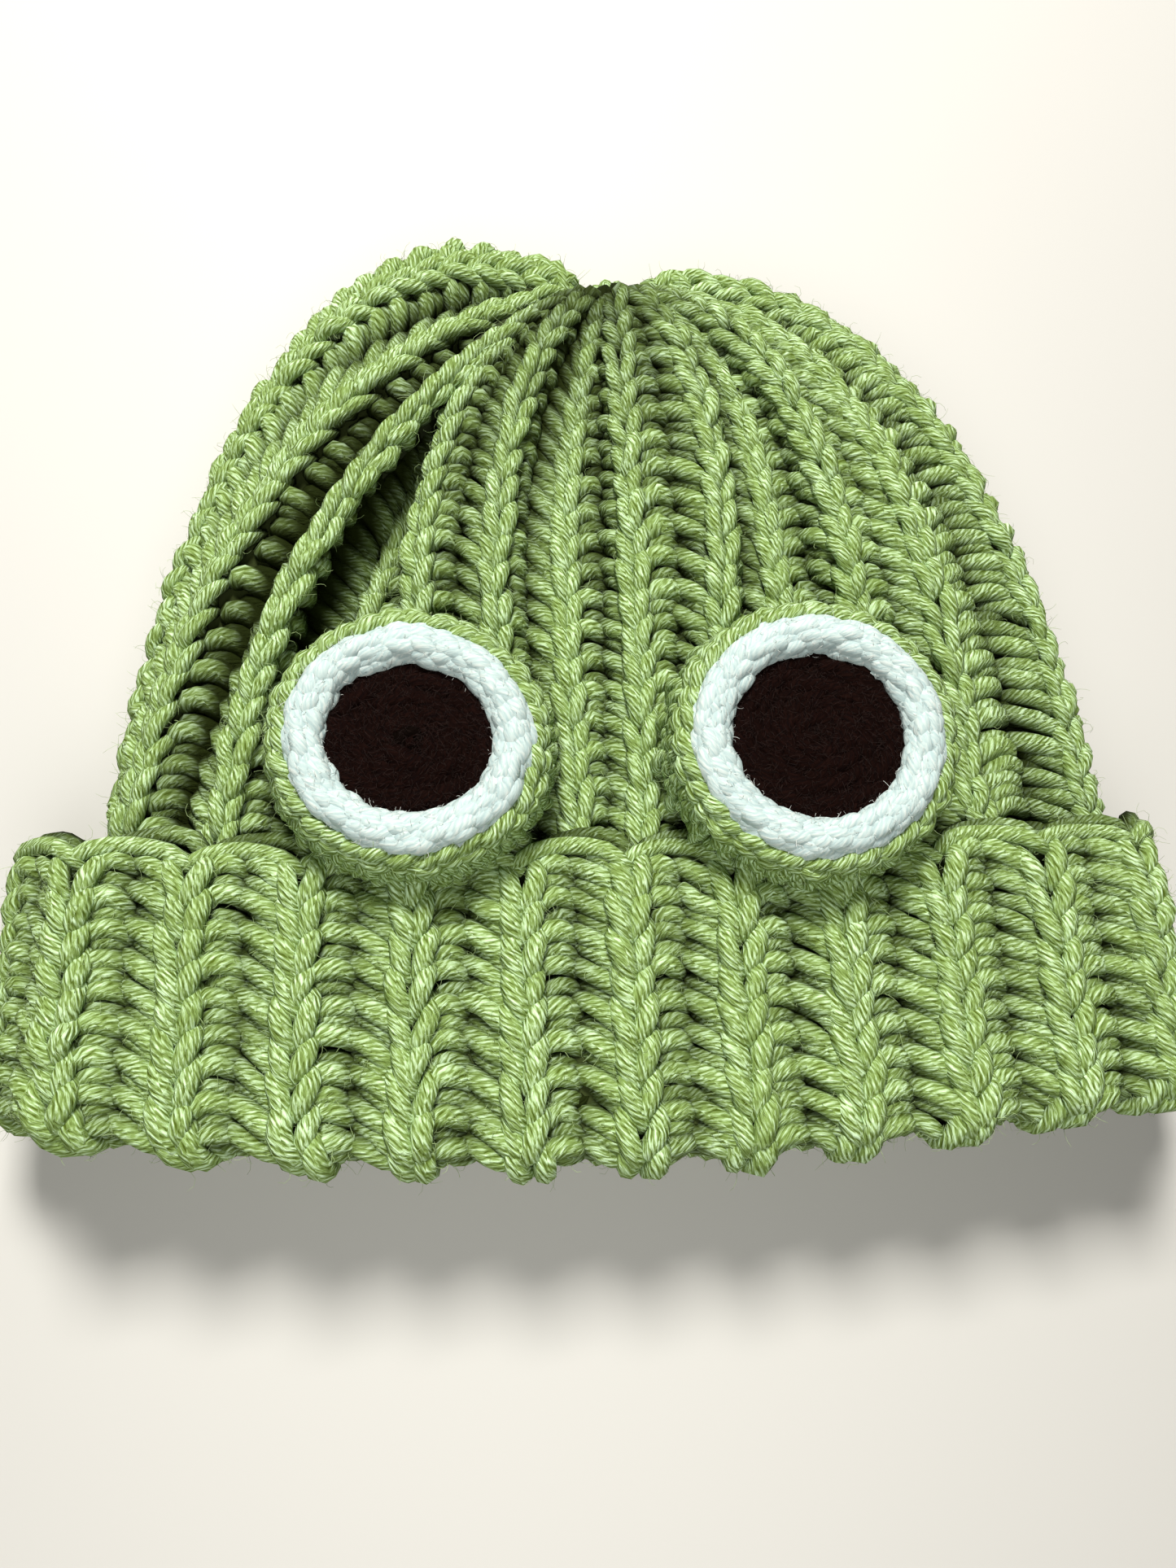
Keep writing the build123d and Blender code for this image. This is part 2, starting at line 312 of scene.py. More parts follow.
# The two legs of a V aren't quite alike: side, spread, lift, and slip along the rib.
LEGS = [(1, 1.0, 0.45, 0.0), (-1, 0.92, 0.3, -0.14)]
BODY_CHAIN = 0.78  # how wide the chains on the body's ribs are, next to the cuff's
BODY_YARN = {"ribs": 1.8, "rungs": 2.1, "posts": 2.0}  # radius at the middle of a strand
BODY_TIP = 1.1  # radius at its tips


def rib_chain(rib, count, widths, stations, spread=1.0):
    """Knots of both legs of every V on one rib: (strands, knots, (rib, along, height))."""
    knots = []
    leg = np.array(LEG)
    for mirror, leg_spread, leg_lift, slip in LEGS:
        across = leg[:, 0] * -mirror * spread * leg_spread
        lift = leg[:, 2] + leg_lift
        for row in range(count):
            place = row + leg[:, 1] + slip
            along = np.interp(place, np.arange(-2, count + 3), stations)
            width = np.interp(along, *widths)
            knots.append(np.stack([rib + across / width, along, lift], -1))
    return knots


def rung_rows(rib, count, stations, shapes):
    """Knots of strands of some shapes between a rib and the next one."""
    knots = []
    for row in range(count):
        for rung in np.array(shapes):
            along = np.interp(row + 0.5 + rung[:, 1], np.arange(-2, count + 3), stations)
            knots.append(np.stack([rib + rung[:, 0], along, rung[:, 2]], -1))
    return knots


PATH_POINTS = 60  # at which a rib's length is measured
WIDTH_POINTS = 12  # at which the width between ribs is
FOLD_WIDENS = 1.2  # how much a fold's depth adds to the cloth between two ribs


def crochet(ground, fold, ribs):
    """Chain, rung and post strands over a range of ribs, laid on a ground surface."""
    shares = np.linspace(0, 1, PATH_POINTS)
    spots = np.linspace(0, 1, WIDTH_POINTS)
    chains, rungs, posts = [], [], []
    for rib in ribs:
        for is_rung in (False, True):
            path = ground(np.full(PATH_POINTS, rib + 0.5 * is_rung), shares)
            lengths = np.concatenate([[0], np.cumsum(np.linalg.norm(np.diff(path, axis=0), axis=1))])
            count = int(round(lengths[-1] / STITCH))
            marks = np.arange(-2, count + 3) * lengths[-1] / count
            stations = np.interp(marks, lengths, shares)
            stations += (marks - np.clip(marks, 0, lengths[-1])) / lengths[-1]
            if is_rung:
                rungs += rung_rows(rib, count, stations, RUNGS)
                posts += rung_rows(rib, count, stations, POSTS)
                continue
            right = np.full(WIDTH_POINTS, rib + 0.5)
            left = np.full(WIDTH_POINTS, rib - 0.5)
            gap = ground(right, spots) - ground(left, spots)
            sunk = fold(right, spots) + fold(left, spots)
            widths = np.hypot(np.linalg.norm(gap, axis=1), FOLD_WIDENS * sunk)
            chains += rib_chain(rib, count, (spots, widths), stations, BODY_CHAIN)
    return np.array(chains), np.array(rungs), np.array(posts)


FOLD_SHADE = 0.72  # how much the depth of a fold counts towards the painted shade of sunk yarn
CROWN_SHADE = 3.8  # mm of painted shade: yarn in front of the crown counts as this much more sunk, where the ribs crowd it
SLACK = 0.15  # a strand longer than the usual one is plumper than it, by up to this share
BODY_WOBBLE = (0.012, 0.0014, 0.2)  # how unevenly a strand lies: in ribs, along, in height
STRAY = 1.6  # how much more a whole strand strays than one of its knots


def lay(name, knots, ground, fold, middle, tip, material, wobble=BODY_WOBBLE, step=0.02,
        crown_shade=0.0, plumpness=(1.0,)):
    """Bends one strand along each set of knots over the fabric, a little unevenly, and paints
    shade on the yarn where it sinks into folds and where it crowds in front of the crown.
    """
    knots = np.array(knots) + rng.normal(0, 1, np.shape(knots)) * np.array(wobble)
    knots += rng.normal(0, STRAY, (len(knots), 1, 3)) * np.array(wobble)
    path = spline_points(knots, RINGS)
    centres, outward = on_fabric(ground, fold, path[..., 0], path[..., 1], path[..., 2], step)
    radii = plump(len(knots), RINGS, middle, tip)
    lengths = np.linalg.norm(np.diff(centres, axis=1), axis=-1).sum(axis=1)
    radii *= np.clip(lengths / np.median(lengths), 1, 1 + SLACK)[:, None]
    radii *= np.tile(plumpness, len(knots) // len(plumpness))[:, None]
    # painted shade: yarn deep in a fold counts as sunk and is painted darker
    standing = path[..., 2] - FOLD_SHADE * fold(path[..., 0], path[..., 1])
    # painted shade: yarn in front of the crown is painted darker towards the crown, where the ribs crowd it
    front = np.clip(np.sin(pi * (path[..., 0] + 0.5) / FRONT_RIBS), 0, 1)
    standing -= crown_shade * front * np.clip(path[..., 1], 0, 1) ** 3
    return yarn_piece(name, centres, outward, radii, material, standing)


def yarn_effect():
    """Shader group for plied yarn: two-tone plies with fine fibres, read along the yarn, with
    painted shade in the thread hollows, a painted highlight on their crests, and painted shade where the
    yarn sinks.
    """
    group = bpy.data.node_groups.new("plied_yarn", "ShaderNodeTree")
    for name in ("Light", "Mid", "Hollow Shade", "Sunk Shade"):
        group.interface.new_socket(name, in_out="INPUT", socket_type="NodeSocketColor")
    for name in ("Twist", "Fibre"):
        group.interface.new_socket(name, in_out="INPUT", socket_type="NodeSocketFloat")
    group.interface.new_socket("Color", in_out="OUTPUT", socket_type="NodeSocketColor")
    group.interface.new_socket("Height", in_out="OUTPUT", socket_type="NodeSocketFloat")
    nodes, links = group.nodes, group.links
    inputs = nodes.new("NodeGroupInput")
    outputs = nodes.new("NodeGroupOutput")
    uv = nodes.new("ShaderNodeUVMap")
    uv.uv_map = "yarn_run"
    split = nodes.new("ShaderNodeSeparateXYZ")
    links.new(uv.outputs["UV"], split.inputs[0])

    def math_node(operation, first, second):
        node = nodes.new("ShaderNodeMath")
        node.operation = operation
        for socket, value in zip(node.inputs, (first, second)):
            if isinstance(value, (int, float)):
                socket.default_value = value
            else:
                links.new(value, socket)
        return node.outputs[0]

    def ramp(value, low, high):
        node = nodes.new("ShaderNodeMapRange")
        node.inputs["From Min"].default_value = low
        node.inputs["From Max"].default_value = high
        links.new(value, node.inputs["Value"])
        return node

    def mix(factor, first, second):
        node = nodes.new("ShaderNodeMix")
        node.data_type = "RGBA"
        links.new(factor, node.inputs["Factor"])
        links.new(first, node.inputs["A"])
        links.new(second, node.inputs["B"])
        return node.outputs["Result"]

    # the threads of the plies wind round at a slant, and the fibres run nearer the yarn's way
    along_yarn, round_yarn = split.outputs[0], split.outputs[1]
    threads = 9.0
    waver_reach = 1.6  # threads
    fibres_round = 26.0
    fibre_slant = 1.6  # fibres to a millimetre
    stretch = 0.45
    ply_share = 0.36
    fibre_share = 0.66
    wind = math_node("ADD", math_node("MULTIPLY", along_yarn, inputs.outputs["Twist"]),
                     math_node("MULTIPLY", round_yarn, threads))
    waver_place = nodes.new("ShaderNodeCombineXYZ")
    links.new(math_node("MULTIPLY", along_yarn, stretch), waver_place.inputs[0])
    links.new(math_node("MULTIPLY", round_yarn, 3.0), waver_place.inputs[1])
    waver = nodes.new("ShaderNodeTexNoise")
    waver.inputs["Scale"].default_value = 1.0
    waver.inputs["Detail"].default_value = 1.0
    links.new(waver_place.outputs[0], waver.inputs["Vector"])
    lay_angle = math_node("ADD", wind, math_node("MULTIPLY", waver.outputs["Fac"], waver_reach))
    ply = math_node("ABSOLUTE", math_node("SINE", math_node("MULTIPLY", lay_angle, pi), 0), 0)
    fibre_place = nodes.new("ShaderNodeCombineXYZ")
    slanted = math_node("ADD", math_node("MULTIPLY", round_yarn, fibres_round),
                        math_node("MULTIPLY", along_yarn, fibre_slant))
    links.new(slanted, fibre_place.inputs[0])
    links.new(math_node("MULTIPLY", along_yarn, stretch), fibre_place.inputs[1])
    fibres = nodes.new("ShaderNodeTexNoise")
    fibres.inputs["Detail"].default_value = 3.0
    fibres.inputs["Roughness"].default_value = 0.6
    links.new(inputs.outputs["Fibre"], fibres.inputs["Scale"])
    links.new(fibre_place.outputs[0], fibres.inputs["Vector"])
    fibre_contrast = ramp(fibres.outputs["Fac"], 0.33, 0.68)
    height = math_node("ADD", math_node("MULTIPLY", ply, ply_share),
                       math_node("MULTIPLY", fibre_contrast.outputs[0], fibre_share))

    # painted shade in the hollows between the threads up to a painted highlight on their crests, lighter on
    # some strands at random
    shade = nodes.new("ShaderNodeAttribute")
    shade.attribute_name = "shade"
    strand_tone = math_node("MULTIPLY", shade.outputs["Fac"], 0.10)
    low_tone = ramp(height, 0.15, 0.58)
    high_tone = ramp(math_node("ADD", height, strand_tone), 0.60, 1.02)
    shade_to_mid = mix(low_tone.outputs[0], inputs.outputs["Hollow Shade"], inputs.outputs["Mid"])
    mid_to_highlight = mix(high_tone.outputs[0], shade_to_mid, inputs.outputs["Light"])

    # painted shade: the yarn is painted towards its sunk shade tone where it dives between its neighbours
    stand = nodes.new("ShaderNodeAttribute")
    stand.attribute_name = "stand"
    open_share = ramp(stand.outputs["Fac"], -2.2, 2.6)
    open_share.interpolation_type = "SMOOTHSTEP"
    sunk = mix(open_share.outputs[0], inputs.outputs["Sunk Shade"], mid_to_highlight)
    links.new(sunk, outputs.inputs["Color"])
    links.new(height, outputs.inputs["Height"])
    return group


plied_yarn = yarn_effect()


def yarn_material(name, light, mid, dark, deep, twist=0.82, fibre=1.0, bump=0.6):
    """A matte yarn in four tones, from the plied yarn effect: a painted highlight, its own mid
    tone, painted shade in the thread hollows and painted shade where it sinks.
    """
    material = bpy.data.materials.new(name)
    material.use_nodes = True
    nodes, links = material.node_tree.nodes, material.node_tree.links
    shader = nodes["Principled BSDF"]
    shader.inputs["Roughness"].default_value = 0.85
    shader.inputs["Specular IOR Level"].default_value = 0.08
    effect = nodes.new("ShaderNodeGroup")
    effect.node_tree = plied_yarn
    for socket, colour in (("Light", light), ("Mid", mid), ("Hollow Shade", dark), ("Sunk Shade", deep)):
        effect.inputs[socket].default_value = (*colour, 1)
    effect.inputs["Twist"].default_value = twist
    effect.inputs["Fibre"].default_value = fibre
    relief = nodes.new("ShaderNodeBump")
    relief.inputs["Strength"].default_value = bump
    relief.inputs["Distance"].default_value = 0.6 * MM
    links.new(effect.outputs["Color"], shader.inputs["Base Color"])
    links.new(effect.outputs["Height"], relief.inputs["Height"])
    links.new(relief.outputs["Normal"], shader.inputs["Normal"])
    return material


# the green yarn's own mid tone, with a painted highlight, painted hollow shade and a near-black painted sunk
# shade
green_yarn = yarn_material("green_worsted_yarn", (0.66, 0.87, 0.56), (0.240, 0.350, 0.104),
                           (0.072, 0.110, 0.009), (0.010, 0.015, 0.001))


WEB_DEPTH = 1.6  # how far behind the middle layer a web lies
WEB_THICKNESS = 1.6
WEB_COLUMNS = 8  # of faces to a rib
WEB_ROWS = 36


def ground_sheet(name, ground, fold, material):
    """The close web of yarn behind the stitches, as one thin closed sheet."""
    form = bmesh.new()
    bmesh.ops.create_grid(form, x_segments=RIBS * WEB_COLUMNS, y_segments=WEB_ROWS, size=0.5)
    form.verts.ensure_lookup_table()
    co = np.array([vertex.co[:] for vertex in form.verts]) + 0.5
    rib = co[:, 0] * RIBS
    places, _ = on_fabric(ground, fold, rib, co[:, 1], np.full(len(rib), -WEB_DEPTH))
    for vertex, place in zip(form.verts, places):
        vertex.co = Vector(place) * MM
    bmesh.ops.remove_doubles(form, verts=form.verts, dist=0.02 * MM)
    bmesh.ops.recalc_face_normals(form, faces=form.faces)
    mesh = bpy.data.meshes.new(name)
    form.to_mesh(mesh)
    form.free()
    mesh.polygons.foreach_set("use_smooth", np.ones(len(mesh.polygons), bool))
    mesh.materials.append(material)
    piece = bpy.data.objects.new(name, mesh)
    bpy.context.collection.objects.link(piece)
    thickening = piece.modifiers.new("web_thickness", "SOLIDIFY")
    thickening.thickness = WEB_THICKNESS * MM
    thickening.use_even_offset = False
    return piece


# painted shade: the web behind the stitches is the same green yarn, coloured near black to stand for the
# shade that lies behind the stitches
shaded_web_material = bpy.data.materials.new("green_web_painted_shade")
shaded_web_material.use_nodes = True
web_shader = shaded_web_material.node_tree.nodes["Principled BSDF"]
web_shader.inputs["Base Color"].default_value = (0.022, 0.032, 0.002, 1)
web_shader.inputs["Roughness"].default_value = 1.0

body_pieces = []
for part_name, ribs in (("front", range(0, FRONT_RIBS)), ("back", range(FRONT_RIBS, RIBS))):
    chain_knots, rung_knots, post_knots = crochet(body_ground, body_fold, ribs)
    for kind, knots in (("ribs", chain_knots), ("rungs", rung_knots), ("posts", post_knots)):
        body_pieces.append(lay(
            f"body_{part_name}_{kind}", knots, body_ground, body_fold, BODY_YARN[kind], BODY_TIP,
            green_yarn, crown_shade=CROWN_SHADE, plumpness=PLUMPNESS[kind]))
body_web = ground_sheet("body_web", body_ground, body_fold, shaded_web_material)
body_pieces.append(body_web)
for piece in body_pieces:
    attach(piece, "root")
    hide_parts("ribbed_body")


# --- Turned-up cuff ---------------------------------------------------------------------
# The lower end of the same strip, turned up over the outside, so that its fabric rolls round
# at the hem and its row ends make the cuff's upper edge. It shows the same ribs, spread wider.
cuff_low, cuff_high = (np.array(corner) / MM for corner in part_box("turned_up_cuff"))
CUFF_LAYER = 7.5
CUFF_HALF = cuff_high[0] - CUFF_LAYER / 2
CUFF_MIDDLE_Z = (cuff_low[2] + cuff_high[2]) / 2
CUFF_TOP = 61.0  # height of the cuff's upper edge above the hem at the middle
HEM_RISE = 12.0  # how much higher the hem lies at the hat's sides than at its lowest
HEM_LOWEST = 0.07  # where that is, in half widths to the right of the middle
EDGE_RISE = 3.0  # the same two for the upper edge
EDGE_LOWEST = 0.25
CUFF_TAPER = 3.5  # how much nearer the middle its sides lie at the upper edge
EDGE_DIP = 1.2  # how far the upper edge leans in towards the body
EDGE_BAND = 10.0  # how far below the edge that begins
HEM_INSET = 3.2  # the strands at the hem's fold lie this far outside the middle layer
FOLD_RADIUS = CUFF_LAYER / 2
FOLD_LENGTH = pi * FOLD_RADIUS
CUFF_DEPTH = CUFF_MIDDLE_Z - CUFF_LAYER / 2  # from the middle of the hat to a cuff layer
FIRST_RIB = 0.1  # how far past the hat's left side the first rib lies, in ribs
RIB_SINK = 2.4
INSIDE = 16.0  # how far the fabric is followed inside the mouth


def cuff_ground(rib, along):
    """The cuff's middle layer: along is in mm up from the hem's fold, negative inside."""
    over = np.clip(-along, 0, FOLD_LENGTH) / FOLD_RADIUS
    inside = np.clip(-along - FOLD_LENGTH, 0, None)
    up = HEM_INSET + FOLD_RADIUS * (1 - np.sin(over)) + np.clip(along, 0, None) + inside
    depth = CUFF_DEPTH - FOLD_RADIUS + FOLD_RADIUS * np.cos(over)
    half = CUFF_HALF - (CUFF_DEPTH - depth) - CUFF_TAPER * np.clip(up / CUFF_TOP, 0, 1.2)
    depth = depth - EDGE_DIP * np.clip((up - CUFF_TOP + EDGE_BAND) / EDGE_BAND, 0, 2) ** 2
    flat = 2 * (half - depth)
    bend = pi * depth
    place = np.mod((rib + FIRST_RIB) / RIBS, 1.0) * 2
    back = place >= 1.0
    walk = np.where(back, place - 1.0, place) * (flat + bend)
    left_turn = np.clip(walk, 0, bend / 2) / depth
    right_turn = np.clip(walk - bend / 2 - flat, 0, None) / depth
    straight = np.clip(walk - bend / 2, 0, flat)
    x = -flat / 2 - depth * np.cos(left_turn) + straight + depth * np.sin(right_turn)
    x = np.where(walk < bend / 2, -flat / 2 - depth * np.cos(left_turn), x)
    x = np.where(walk >= bend / 2, -flat / 2 + straight + depth * np.sin(right_turn), x)
    z = np.where(walk < bend / 2, depth * np.sin(left_turn),
                 np.where(walk < bend / 2 + flat, depth, depth * np.cos(right_turn)))
    x = np.where(back, -x, x)
    z = np.where(back, -z, z)
    span = x / CUFF_HALF
    hem = HEM_RISE * (span - HEM_LOWEST) ** 2
    top = CUFF_TOP + EDGE_RISE * (span - EDGE_LOWEST) ** 2
    y = hem_y + hem + up / CUFF_TOP * (top - hem)
    return np.stack([x, y, z + CUFF_MIDDLE_Z], -1)


def cuff_fold(rib, along):
    """The shallow furrow between two ribs."""
    return RIB_SINK * (0.5 - 0.5 * np.cos(2 * pi * rib))


edge_along = CUFF_TOP - HEM_INSET - FOLD_RADIUS
cuff_rows = int((edge_along + FOLD_LENGTH + INSIDE) / STITCH)
cuff_stations = edge_along - (np.arange(cuff_rows + 5)[::-1] - 2) * STITCH
RIB_PITCH = 21.1
CUFF_WOBBLE = (0.012, 0.22, 0.2)
CUFF_STEP = 0.5
CUFF_YARN = {"ribs": 2.15, "rungs": 2.05, "posts": 2.0}
CUFF_TIP = 1.3
EDGE_YARN = 1.9
EDGE_TIP = 1.1
cuff_pieces = []
for part_name, ribs in (("front", range(0, FRONT_RIBS)), ("back", range(FRONT_RIBS, RIBS))):
    chain_knots = [knot for rib in ribs for knot in rib_chain(
        rib, cuff_rows, ([0, 1], [RIB_PITCH, RIB_PITCH]), cuff_stations)]
    rung_knots = [knot for rib in ribs for knot in rung_rows(rib, cuff_rows, cuff_stations, RUNGS)]
    post_knots = [knot for rib in ribs for knot in rung_rows(rib, cuff_rows, cuff_stations, POSTS)]
    for kind, knots in (("ribs", chain_knots), ("rungs", rung_knots), ("posts", post_knots)):
        cuff_pieces.append(lay(
            f"cuff_{part_name}_{kind}", knots, cuff_ground, cuff_fold, CUFF_YARN[kind], CUFF_TIP,
            green_yarn, CUFF_WOBBLE, CUFF_STEP, plumpness=PLUMPNESS[kind]))

# the row ends along the upper edge: long strands that arch from rib to rib
edge_knots = []
for rib in range(RIBS):
    for rise, lift, slip in ((1.2, 1.2, 0.0), (3.6, -1.0, 0.12), (2.4, -3.4, 0.2)):
        arch = [(-0.08, -2.6, lift - 1.2), (0.12, rise - 1.0, lift), (0.45, rise + 0.8, lift + 0.4),
                (0.8, rise - 0.6, lift), (1.04, -3.2, lift - 1.0)]
        edge_knots.append([(rib + slip + across, edge_along - 1 + up, height)
                           for across, up, height in arch])
cuff_pieces.append(lay("cuff_edge", edge_knots, cuff_ground, cuff_fold, EDGE_YARN, EDGE_TIP,
                       green_yarn, CUFF_WOBBLE, CUFF_STEP))


def mm_ground(rib, share):
    """The cuff's ground with along as a share, for the web."""
    return cuff_ground(rib, share * (edge_along + FOLD_LENGTH + INSIDE) - FOLD_LENGTH - INSIDE)


cuff_web = ground_sheet("cuff_web", mm_ground, cuff_fold, shaded_web_material)
cuff_pieces.append(cuff_web)
for piece in cuff_pieces:
    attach(piece, "root")
    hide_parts("turned_up_cuff")


# --- Eyes -------------------------------------------------------------------------------
# Each frog eye is a green cup worked in rounds and stuffed, with a black disc in its top and a
# plump white ring round the disc, all single crochet, and it is sewn down by its lower edge.
EYES = {"left": (27.0, 25.5, -12.0), "right": (28.2, 27.4, 0.0)}  # half width, half length, turn
CUP_STITCHES = 34
CUP_PROFILE = ([-3, 0, 4, 8, 11, 13.5, 16, 20], [1.6, 1.7, 1.9, 2.4, 3.0, 4.0, 6.2, 10.0],
               [-1.2, 1.8, 5.8, 9.8, 12.6, 14.0, 14.2, 13.0])  # along, inset and height
WHITE_STITCHES = 32
WHITE_INSET = 7.7
WHITE_WIDTH = 2.6
WHITE_HEIGHT = 2.4
WHITE_TOP_GAP = 1.2  # from the top of the ring's surface to the top of its box
PUPIL_TOP_GAP = 0.6
PUPIL_INSET = 11.0
PUPIL_SUNK = 1.9
PUPIL_DOME = 0.05  # rise to a millimetre towards its middle
RING_LEG_WIDTH = 3.7
EYE_WOBBLE = (0.0016, 0.12, 0.12)
EYE_SURFACE_STEP = 0.8
RING_SURFACE_STEP = 0.6
CUP_YARN = (1.65, 1.0)  # radius at the middle of a strand and at its tips
WHITE_YARN = (1.9, 1.5)
PUPIL_YARN = (1.95, 1.8)
CUP_WEB_REACH = 18.0  # up the wall and over the rim
DISC_WEB_REACH = 15.6
DISC_WEB_START = -1.5
WHITE_ROUNDS = [(-0.4, 0.0), (2.4, 0.35), (5.0, 0.1), (7.6, 0.5)]  # along, first stitch
DISC_ROUNDS = [(1.0, 26), (4.4, 20), (7.8, 14), (11.2, 8), (14.0, 5)]  # along, stitches

# the white yarn's own mid tone with a painted highlight and bluish painted shade in its hollows and where it
# sinks; the black yarn's tones hold the same painted highlight and shade, faintly
white_yarn = yarn_material("white_worsted_yarn", (0.68, 0.72, 0.68), (0.50, 0.60, 0.58),
                           (0.40, 0.51, 0.51), (0.25, 0.35, 0.37), bump=0.2)
black_yarn = yarn_material("black_worsted_yarn", (0.011, 0.004, 0.003), (0.006, 0.002, 0.0015),
                           (0.004, 0.002, 0.002), (0.003, 0.0015, 0.001), bump=0.4)
black_yarn.node_tree.nodes["Principled BSDF"].inputs["Specular IOR Level"].default_value = 0.02
black_web = bpy.data.materials.new("black_web")
black_web.use_nodes = True
black_shader = black_web.node_tree.nodes["Principled BSDF"]
black_shader.inputs["Base Color"].default_value = (0.006, 0.003, 0.003, 1)
black_shader.inputs["Roughness"].default_value = 1.0


def ring_ground(side, profile):
    """A surface round an eye: turns round it, and mm along a profile of inset and height."""
    half_width, half_length, tilt = EYES[side]
    low, high = (np.array(corner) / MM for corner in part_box(f"{side}_eye_cup"))
    middle = (low + high) / 2
    lean = radians(tilt)

    def ground(turn, along):
        inset, height = profile(np.asarray(along, float))
        x = (half_width - inset) * np.cos(2 * pi * turn)
        y = (half_length - inset) * np.sin(2 * pi * turn)
        return np.stack([middle[0] + x * cos(lean) - y * sin(lean),
                         middle[1] + x * sin(lean) + y * cos(lean), low[2] + height], -1)
    return ground


def flat_fold(rib, along):
    """No folds."""
    return 0.0 * rib


def cup_profile(along):
    """Up the cup's wall and over its rim."""
    place, inset, height = CUP_PROFILE
    return np.interp(along, place, inset), np.interp(along, place, height)


def white_profile(middle):
    """Round the white ring's section, from its outer side over its top to its inner side."""
    def profile(along):
        turn = along / WHITE_HEIGHT
        return WHITE_INSET - WHITE_WIDTH * np.cos(turn), middle + WHITE_HEIGHT * np.sin(turn)
    return profile


def pupil_profile(top):
    """Across the disc from its edge, a little domed."""
    def profile(along):
        return PUPIL_INSET + along, top - PUPIL_SUNK + PUPIL_DOME * along
    return profile


def ring_chain(count, along, spread, lift=0.0, start=0.0, thin=1.0):
    """Knots of a chain of stitch tops that lies round an eye."""
    knots = []
    for mirror in (1, -1):
        for stitch in range(count):
            knots.append([((stitch + start + step) / count,
                           along + mirror * spread * across / RING_LEG_WIDTH,
                           lift + height * thin) for across, step, height in LEG])
    return knots


def ring_posts(count, along, tall, lift=0.0, start=0.0):
    """Knots of upright Vs side by side round an eye."""
    knots = []
    for mirror in (1, -1):
        for stitch in range(count):
            knots.append([((stitch + start + mirror * (0.02 + 0.11 * -across)) / count,
                           along + tall * step, lift + height * 0.8) for across, step, height in LEG])
    return knots


for side in EYES:
    cup_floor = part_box(f"{side}_eye_cup")[0][2] / MM
    white_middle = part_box(f"{side}_eye_white")[1][2] / MM - cup_floor
    white_middle += -WHITE_HEIGHT - WHITE_TOP_GAP
    pupil_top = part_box(f"{side}_eye_pupil")[1][2] / MM - cup_floor - PUPIL_TOP_GAP
    cup_surface = ring_ground(side, cup_profile)
    cup_knots = (ring_posts(CUP_STITCHES, along=2.8, tall=5.4)
                 + ring_posts(CUP_STITCHES, along=7.2, tall=5.4, start=0.3)
                 + ring_chain(CUP_STITCHES, along=12.2, spread=1.6, start=0.1))
    cup = lay(f"{side}_cup_stitches", cup_knots, cup_surface, flat_fold, *CUP_YARN, green_yarn,
              EYE_WOBBLE, EYE_SURFACE_STEP)
    cup_web = ground_sheet(f"{side}_cup_web",
                           lambda turn, share: cup_surface(turn / RIBS, share * CUP_WEB_REACH),
                           flat_fold, shaded_web_material)
    white_surface = ring_ground(side, white_profile(white_middle))
    white_knots = []
    for place, start in WHITE_ROUNDS:
        white_knots += ring_chain(WHITE_STITCHES, place, spread=1.1, lift=-0.9, start=start,
                                  thin=0.38)
    white = lay(f"{side}_white_stitches", white_knots, white_surface, flat_fold, *WHITE_YARN,
                white_yarn, EYE_WOBBLE, RING_SURFACE_STEP)
    disc_surface = ring_ground(side, pupil_profile(pupil_top))
    disc_knots = []
    for place, count in DISC_ROUNDS:
        disc_knots += ring_chain(count, place, spread=1.6, lift=-0.7, start=0.07 * place,
                                 thin=0.12)
    disc = lay(f"{side}_pupil_stitches", disc_knots, disc_surface, flat_fold, *PUPIL_YARN,
               black_yarn, EYE_WOBBLE, RING_SURFACE_STEP)
    disc_web = ground_sheet(
        f"{side}_pupil_web",
        lambda turn, share: disc_surface(turn / RIBS, share * DISC_WEB_REACH + DISC_WEB_START),
        flat_fold, black_web)
    for piece, part, finish in ((cup, "cup", "eye_green_yarn"), (cup_web, "cup", "eye_green_yarn"),
                                (white, "white", "eye_white_yarn"), (disc, "pupil", "eye_black_yarn"),
                                (disc_web, "pupil", "eye_black_yarn")):
        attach(piece, "root")
        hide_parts(f"{side}_eye_{part}")


# --- Eye stuffing and sewing ------------------------------------------------------------
# A pad of polyester fibre fills each cup, and one length of green yarn whips the cup's lower
# edge down to the ribs.
fibre_material = bpy.data.materials.new("polyester_fibre")
fibre_material.use_nodes = True
fibre_nodes, fibre_links = fibre_material.node_tree.nodes, fibre_material.node_tree.links
fibre_shader = fibre_nodes["Principled BSDF"]
fibre_shader.inputs["Roughness"].default_value = 0.9
fibre_noise = fibre_nodes.new("ShaderNodeTexNoise")
fibre_noise.inputs["Scale"].default_value = 700.0
fibre_noise.inputs["Detail"].default_value = 4.0
fibre_place = fibre_nodes.new("ShaderNodeTexCoord")
fibre_tone = fibre_nodes.new("ShaderNodeMix")
fibre_tone.data_type = "RGBA"
fibre_tone.inputs["A"].default_value = (0.55, 0.55, 0.53, 1)
fibre_tone.inputs["B"].default_value = (0.88, 0.88, 0.86, 1)
fibre_bump = fibre_nodes.new("ShaderNodeBump")
fibre_bump.inputs["Strength"].default_value = 0.6
fibre_bump.inputs["Distance"].default_value = 1.0 * MM
fibre_links.new(fibre_place.outputs["Object"], fibre_noise.inputs["Vector"])
fibre_links.new(fibre_noise.outputs["Fac"], fibre_tone.inputs["Factor"])
fibre_links.new(fibre_noise.outputs["Fac"], fibre_bump.inputs["Height"])
